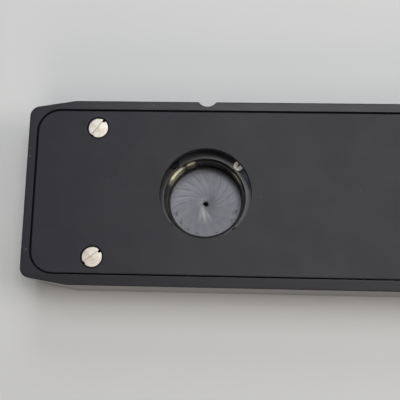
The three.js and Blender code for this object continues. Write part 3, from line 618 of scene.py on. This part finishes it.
def make_bar():
    edges = [(BAR_EDGE * (1 - math.sin(a)), BAR_EDGE * (1 - math.cos(a))) for a in quarter()]
    levels = edges + [(inset, THICK - z) for inset, z in reversed(edges)]
    obj = loft("bar_shell", [[(x, y, z) for x, y in bar_outline(inset)]
                             for inset, z in levels])
    open_top = PLATE_SEAT + SKIM
    well_outline = circle(WHEEL_R + WELL_GAP, 96, WHEEL_X, WHEEL_Y)
    tools = [
        prism("t", round_rect(POCKET_X0, POCKET_X1, POCKET_Y0, POCKET_Y1, POCKET_R),
              PLATE_SEAT, THICK + OVER),
        prism("t", circle(NOTCH_R, 64, OPENING_X, WIDTH / 2 + NOTCH_R - NOTCH_DEPTH),
              -OVER, THICK + OVER),
        prism("t", circle(LIGHT_R, 128, IRIS_X, IRIS_Y), -OVER, THICK),
        prism("t", circle(BORE_R, 128, IRIS_X, IRIS_Y), FLOOR_T, THICK),
        prism("t", circle(SEAT_R, 128, IRIS_X, IRIS_Y), SEAT_Z, open_top),
        box("t", CHANNEL_X0, WHEEL_X + CHANNEL_PAST_WHEEL, CHANNEL_Y0, CHANNEL_Y1,
            CHANNEL_Z, open_top),
        box("t", TUNNEL_X0, TUNNEL_X1, CHANNEL_Y0, CHANNEL_Y1, CHANNEL_Z, TUNNEL_Z),
        prism("t", well_outline, WELL_Z0, WELL_Z1),
        box("t", WHEEL_X - BRIDGE_HALF, WHEEL_X + BRIDGE_HALF, WHEEL_Y - BRIDGE_WIDE,
            WHEEL_Y + BRIDGE_WIDE, BRIDGE_Z0, BRIDGE_Z1),
    ]
    well = prism("t", well_outline, CHANNEL_Z, open_top)
    cut(well, box("t", WHEEL_X - TRIM_HALF, WHEEL_X + TRIM_HALF, TRIM_Y, CHANNEL_Y0,
                  TRIM_Z0, TRIM_Z1))
    tools.append(well)
    tools.append(prism("t", circle(BUSH_HOLE_R, 48, WHEEL_X, WHEEL_Y), BUSH_HOLE_Z,
                       CHANNEL_Z + SKIM))
    for x in RAIL_XS:
        tools.append(box("t", x - RAIL_HALF, x + RAIL_HALF, CHANNEL_Y0, RAIL_Y1, RAIL_SEAT,
                         open_top))
    for x in SCREW_X:
        for y in (SCREW_Y, -SCREW_Y):
            tools.append(prism("t", circle(TAP_R, 24, x, y), TAP_Z, open_top))
    for tool in tools:
        cut(obj, tool)
    soften(obj, 0.07)
    settle(obj, "bar", MATERIALS["anodised_bar"], "slider_body")


def make_cover_plate():
    levels = [(0.0, PLATE_SEAT + PLATE_LIFT)]
    for a in quarter():
        levels.append((PLATE_EDGE * (1 - math.cos(a)),
                       PLATE_TOP - PLATE_EDGE * (1 - math.sin(a))))
    rings = []
    for inset, z in levels:
        gap = PLATE_GAP + inset
        rings.append([(x, y, z) for x, y in round_rect(
            POCKET_X0 + gap, POCKET_X1 - gap, POCKET_Y0 + gap, POCKET_Y1 - gap,
            POCKET_R - gap)])
    obj = loft("cover_sheet", rings)
    under, above = PLATE_SEAT - OVER, THICK + OVER
    tools = [prism("t", circle(OPENING_R, 160, OPENING_X), under, above)]
    for x in SCREW_X:
        for y in (SCREW_Y, -SCREW_Y):
            tools.append(prism("t", circle(HEAD_R + HEAD_GAP, 64, x, y),
                               HEAD_SEAT - SEAT_GAP, above))
            tools.append(prism("t", circle(SHANK_HOLE_R, 24, x, y), under, above))
    for tool in tools:
        cut(obj, tool)
    soften(obj, 0.05)
    settle(obj, "bar", MATERIALS["anodised_plate"], "cover_plate")


# ------------------------------------------------------------------------ screws
def make_screw(name, node, x, y, angle, material, head_r, top, seat, shank_r, end, slot_w,
               slot_d, steps, cleft=None):
    """A slotted cheese-head screw with a faintly domed head and a notch at each slot end."""
    edge, dome = head_r * HEAD_EDGE, head_r * HEAD_DOME
    profile = [(shank_r * 0.8, end), (shank_r, end + 0.2), (shank_r, seat),
               (head_r - edge * 0.6, seat), (head_r, seat + edge * 0.6)]
    for a in quarter():
        profile.append((head_r - edge * (1 - math.cos(a)),
                        top - dome - edge * (1 - math.sin(a))))
    for k in range(1, 6):
        r = (head_r - edge) * (1 - k / 6)
        profile.append((r, top - dome * (r / head_r) ** 2))
    obj = loft(name, [[(px, py, z) for px, py in circle(r, steps)] for r, z in profile])
    w, far = slot_w / 2, head_r * 1.2
    notch, notch_far = w * 1.04, far * 1.1  # unequal to the slot, so that no walls coincide
    length, mouth = cleft or (slot_w * 0.8, notch)
    inner, low, high = head_r - length, seat + 0.1, top + 0.5
    tools = [prism("t", [(inner, -notch), (notch_far, -mouth), (notch_far, mouth),
                         (inner, notch)], low, high),
             box("t", -notch_far, -head_r + slot_w * 0.45, -notch, notch, low, high),
             box("t", -far, far, -w, w, top - slot_d, top + OVER)]
    for tool in tools:
        tool.data.transform(Matrix.Rotation(angle * DEG, 4, "Z"))
        cut(obj, tool)
    soften(obj, head_r * HEAD_BEVEL)
    obj.data.transform(Matrix.Translation((x, y, 0)))
    settle(obj, "bar", MATERIALS[material], node, origin=(x, y, top))


def make_screws():
    places = [(x, y) for x in SCREW_X for y in (SCREW_Y, -SCREW_Y)]
    for k, ((x, y), slot) in enumerate(zip(places, SCREW_SLOTS), 1):
        make_screw(f"cover_screw_head_{k}", f"cover_screw_{k}", x, y, slot, "screw_steel",
                   **COVER_SCREW)
    for k, (a, slot) in enumerate(zip(FLANGE_ANGLES, FLANGE_SLOTS), 1):
        material, cleft = ("nickel", CLEFT) if k == 1 else ("blackened_screw", None)
        make_screw(f"flange_screw_head_{k}", f"flange_screw_{k}",
                   *about_iris(FLANGE_SCREW_R, a), slot, material, cleft=cleft,
                   **FLANGE_SCREW)
    for k in range(4):
        make_screw(f"mount_screw_head_{k + 1}", f"mount_screw_{k + 1}",
                   *about_iris(MOUNT_SCREW_R, 45 + 90 * k), 20 + 35 * k, "screw_steel",
                   **MOUNT_SCREW)


# ----------------------------------------------------------------- the iris unit
def make_flange():
    r0, r1, z0, z1 = FLANGE_RI, FLANGE_RO, flange_low.z / MM, flange_high.z / MM
    obj = turned("flange_ring", [(r0, z0), (r1, z0), (r1, z1), (r0 + FLANGE_EDGE, z1),
                                 (r0, z1 - FLANGE_EDGE)], 192, IRIS_X, IRIS_Y)
    tools = []
    for a in FLANGE_ANGLES:
        x, y = about_iris(FLANGE_SCREW_R, a)
        tools.append(prism("t", circle(FLANGE_HOLE_R, 20, x, y), FLANGE_CUT_Z0, FLANGE_CUT_Z1))
        tools.append(prism("t", circle(FLANGE_SINK_R, 40, x, y), FLANGE_SINK_Z, FLANGE_CUT_Z1))
    scored = box("t", -SCORE_HALF_LEN, SCORE_HALF_LEN, -SCORE_HALF_WIDTH, SCORE_HALF_WIDTH,
                 SCORE_Z, FLANGE_CUT_Z1)
    scored.data.transform(Matrix.Translation((IRIS_X + SCORE_X, IRIS_Y + SCORE_Y, 0))
                          @ Matrix.Rotation(SCORE_TURN * DEG, 4, "Z"))
    tools.append(scored)
    for tool in tools:
        cut(obj, tool)
    soften(obj, 0.03)
    settle(obj, "bar", MATERIALS["anodised_flange"], "iris_flange",
           origin=(IRIS_X, IRIS_Y, 0))


def make_barrel():
    r0, r1, z0, z1 = BARREL_RI, BARREL_RO, barrel_low.z / MM, barrel_high.z / MM
    profile = [(r0 + BARREL_EDGE, z0), (r1, z0), (r1, z1), (r0, z1), (r0, z0 + BARREL_EDGE)]
    obj = turned("barrel_wall", profile, 192, IRIS_X, IRIS_Y)
    fix_normals(obj)
    soften(obj, 0.03)
    settle(obj, "bar", MATERIALS["blackened_brass"], "barrel_ring",
           origin=(IRIS_X, IRIS_Y, 0))


def climb(a):
    """How far a leaf has risen at a degrees along its span."""
    p = min(LEAF_SPAN, max(0.0, a))
    u = min(1.0, max(0.0, (p - STEP_A) / (STEP_B - STEP_A)))
    return RISE_EVEN * p / LEAF_SPAN + RISE_STEP * u * u * (3 - 2 * u)


def half_width(a):
    """Half the width of a leaf at a degrees along its span: a blunt root, a rounder tip."""
    full = (LEAF_RO - LEAF_RI) / 2
    taper = min(1.0, max(0.0, (a - TAPER_A) / TAPER_LEN))
    w = full - (full - TIP_HALF) * taper * taper * (3 - 2 * taper)
    if a < 0:
        u = a / END_LEN
        w *= math.sqrt(max(0.0, 1 - u ** 2)) * 0.25 + 0.75 * (1 - u ** 4)
    if a > LEAF_SPAN:
        w *= math.sqrt(max(0.02, 1 - ((a - LEAF_SPAN) / END_LEN) ** 2))
    return max(w, 0.2)


def leaf_mesh(name):
    mid = (LEAF_RI + LEAF_RO) / 2
    low, high = LEAF_LESS, LEAF_T - LEAF_LESS
    rings = []
    for a in (*LEAF_ROOT, *range(0, LEAF_SPAN, 2), *LEAF_TIP):
        h, z = half_width(a), climb(a)
        c, s = math.cos(a * DEG), math.sin(a * DEG)
        rings.append([(r * c, r * s, z + dz) for r, dz in (
            (mid - h, low), (mid, low), (mid + h, low), (mid + h, high), (mid, high),
            (mid - h, high))])
    obj = loft(name, rings)
    fix_normals(obj)
    top = climb(LEAF_SPAN)
    drive = (DRIVE_R * math.cos(LEAF_SPAN * DEG), DRIVE_R * math.sin(LEAF_SPAN * DEG))
    cut(obj, prism("t", circle(PIN_R, 24, PIVOT_R, 0), -PIVOT_PIN, high), "UNION")
    cut(obj, prism("t", circle(PIN_R, 24, *drive), top + low, top + DRIVE_PIN), "UNION")
    tidy(obj, 0.0003)
    obj.data.shade_smooth()
    obj.data.set_sharp_from_angle(angle=35 * DEG)
    return obj


def calm(mesh, share):
    """Turns the shading of the upward faces towards level, as a flexed foil would lie."""
    normals = [Vector(n.vector) for n in mesh.corner_normals]
    for face in mesh.polygons:
        if face.normal.z > 0.5:
            for k in face.loop_indices:
                normals[k] = normals[k].lerp(Vector((0, 0, 1)), share).normalized()
    mesh.normals_split_custom_set(normals)


LEAF_LOOKS = {"leaf_lined": (10, 11, 12, 15, 16, 17, 18, 19), "leaf_dark_marked": (20, 1, 8),
              "leaf_ticked": (2, 3, 7), "leaf_streaked": (4, 6), "leaf_streaked_ticked": (5,)}


def leaf_look(k):
    """The material of leaf k."""
    return next((look for look, leaves in LEAF_LOOKS.items() if k in leaves), "leaf_steel")


def make_leaves():
    first = leaf_mesh("iris_leaf_01")
    first.data.transform(Matrix.Scale(MM, 4))
    calm(first.data, CALM)
    pivot = Matrix.Translation((PIVOT_R * MM, 0, 0))
    swing = pivot @ Matrix.Rotation(CLOSE, 4, "Z") @ pivot.inverted()
    seat = Matrix.Translation(((NOSE_X + IRIS_X) * MM, IRIS_Y * MM, LEAF_Z * MM))
    leaves = [first]
    for k in range(2, LEAVES + 1):
        obj = first.copy()
        obj.data = first.data.copy()
        obj.name = f"iris_leaf_{k:02d}"
        bpy.context.scene.collection.objects.link(obj)
        leaves.append(obj)
    for k, obj in enumerate(leaves):
        obj.matrix_world = seat @ Matrix.Rotation(2 * math.pi * k / LEAVES, 4, "Z") @ swing
    bpy.context.view_layer.update()
    for k, obj in enumerate(leaves, 1):
        obj.data.materials.append(MATERIALS[leaf_look(k)])
        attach(obj, f"leaf_{k:02d}")
        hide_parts(f"leaf_{k:02d}")


# ------------------------------------------------------------------- thumbwheel
def fluted_rim(scale, z):
    """The knurled outline of the wheel at height z."""
    out = []
    for k in range(FLUTES * FLUTE_POINTS):
        a = 2 * math.pi * k / (FLUTES * FLUTE_POINTS)
        wave = abs(math.cos(FLUTES * a / 2))
        r = WHEEL_R * scale - FLUTE_DEPTH * (1 - wave)
        out.append((WHEEL_X + r * math.cos(a), WHEEL_Y + r * math.sin(a), z))
    return out


def make_wheel():
    z0, z1, inner = WHEEL_Z0, WHEEL_Z1, 1 - WHEEL_EDGE / WHEEL_R
    obj = loft("knurled_wheel", [fluted_rim(inner, z0), fluted_rim(1, z0 + WHEEL_EDGE),
                                 fluted_rim(1, z1 - WHEEL_EDGE), fluted_rim(inner, z1)])
    floor, above = z1 - DISH_DEPTH, z1 + OVER
    cut(obj, turned("t", [(DISH_R0, floor), (DISH_R1, floor), (DISH_R1, above),
                          (DISH_R0, above)], 96, WHEEL_X, WHEEL_Y))
    cut(obj, prism("t", circle(WHEEL_HOLE_R, 32, WHEEL_X, WHEEL_Y), z0 - OVER, above))
    soften(obj, 0.05, 50)
    settle(obj, "thumbwheel", MATERIALS["anodised_wheel"], "thumbwheel",
           origin=(WHEEL_X, WHEEL_Y, 0))


# ------------------------------------------------------- nodes kept from the CAD
def dress_cad_nodes():
    """Gives each CAD node still shown its finished material."""
    for node, obj in frame["nodes"].items():
        obj.data.materials.clear()
        shown = "blackened_ring" if node == "cam_ring" else SLOTS[node]
        obj.data.materials.append(MATERIALS[shown])


# ----------------------------------------------------------- floor, light, camera
def make_floor():
    bpy.ops.mesh.primitive_plane_add(size=3.0, location=(0, 0, 0))
    floor = bpy.context.object
    floor.name = "floor"
    m = Nodes("floor_falloff")
    # The floor darkens towards the near side: painted shade.
    tone = m.mix(m.band(m.along("Y"), -0.045, 0.02), (0.500, 0.508, 0.512),
                 (0.550, 0.562, 0.570))
    floor.data.materials.append(m.finish(tone, 0.75))


WARM, FAIR, COOL = (1.0, 0.91, 0.82), (1.0, 0.96, 0.92), (0.94, 0.97, 1.0)
LIGHTS = (                     # name, watts, place, colour, size
    ("front", 1.7, (0.0, -0.55, 0.95), WARM, 0.4),
    ("front_low", 2.7, (0.0, -0.93, 0.58), WARM, 0.4),
    ("right", 2.5, (0.25, 0.10, 1.07), FAIR, 0.26),
    ("right_low", 5.2, (0.84, 0.0, 0.71), FAIR, 0.4),
    ("corner", 1.4, (0.41, 0.41, 0.93), COOL, 0.4),
    ("back", 2.5, (-0.04, 0.39, 1.03), COOL, 0.4),
    ("back_low", 2.6, (0.0, 0.87, 0.68), COOL, 0.4),
    ("left", 0.75, (-0.55, 0.0, 0.95), COOL, 0.4))


def area_light(name, power, location, colour, size):
    """A square soft light facing the middle of the bar."""
    data = bpy.data.lights.new(name, "AREA")
    data.energy = power
    data.shape = "SQUARE"
    data.size = size
    data.color = colour
    obj = bpy.data.objects.new(name, data)
    obj.location = location
    obj.rotation_euler = (-Vector(location)).to_track_quat("-Z", "Y").to_euler()
    bpy.context.scene.collection.objects.link(obj)


def make_light():
    """Warm soft lights over the near side, cool ones behind, and fill from the right."""
    world = bpy.data.worlds.new("studio")
    world.use_nodes = True
    background = world.node_tree.nodes["Background"]
    background.inputs["Color"].default_value = (0.85, 0.92, 1.0, 1.0)
    background.inputs["Strength"].default_value = 0.02
    bpy.context.scene.world = world
    for light in LIGHTS:
        area_light(*light)
    bpy.context.scene.view_settings.view_transform = "Standard"


def make_camera():
    """The photograph's view: from above and a little towards the near side."""
    target = Vector(((NOSE_X + VIEW_X) * MM, VIEW_Y * MM, THICK * MM))
    toward = Vector(VIEW_FROM).normalized()
    data = bpy.data.cameras.new("camera")
    data.sensor_width = SENSOR
    data.lens = VIEW_LENS
    data.clip_start = 0.01
    cam = bpy.data.objects.new("camera", data)
    turn = (-toward).to_track_quat("-Z", "Y").to_matrix().to_4x4()
    cam.matrix_world = (Matrix.Translation(target + toward * (VIEW_DISTANCE * MM)) @ turn
                        @ Matrix.Rotation(VIEW_ROLL * DEG, 4, "Z"))
    bpy.context.scene.collection.objects.link(cam)
    bpy.context.scene.camera = cam


make_camera()
make_floor()
make_light()
make_bar()
make_cover_plate()
make_screws()
make_flange()
make_barrel()
make_leaves()
make_wheel()
dress_cad_nodes()
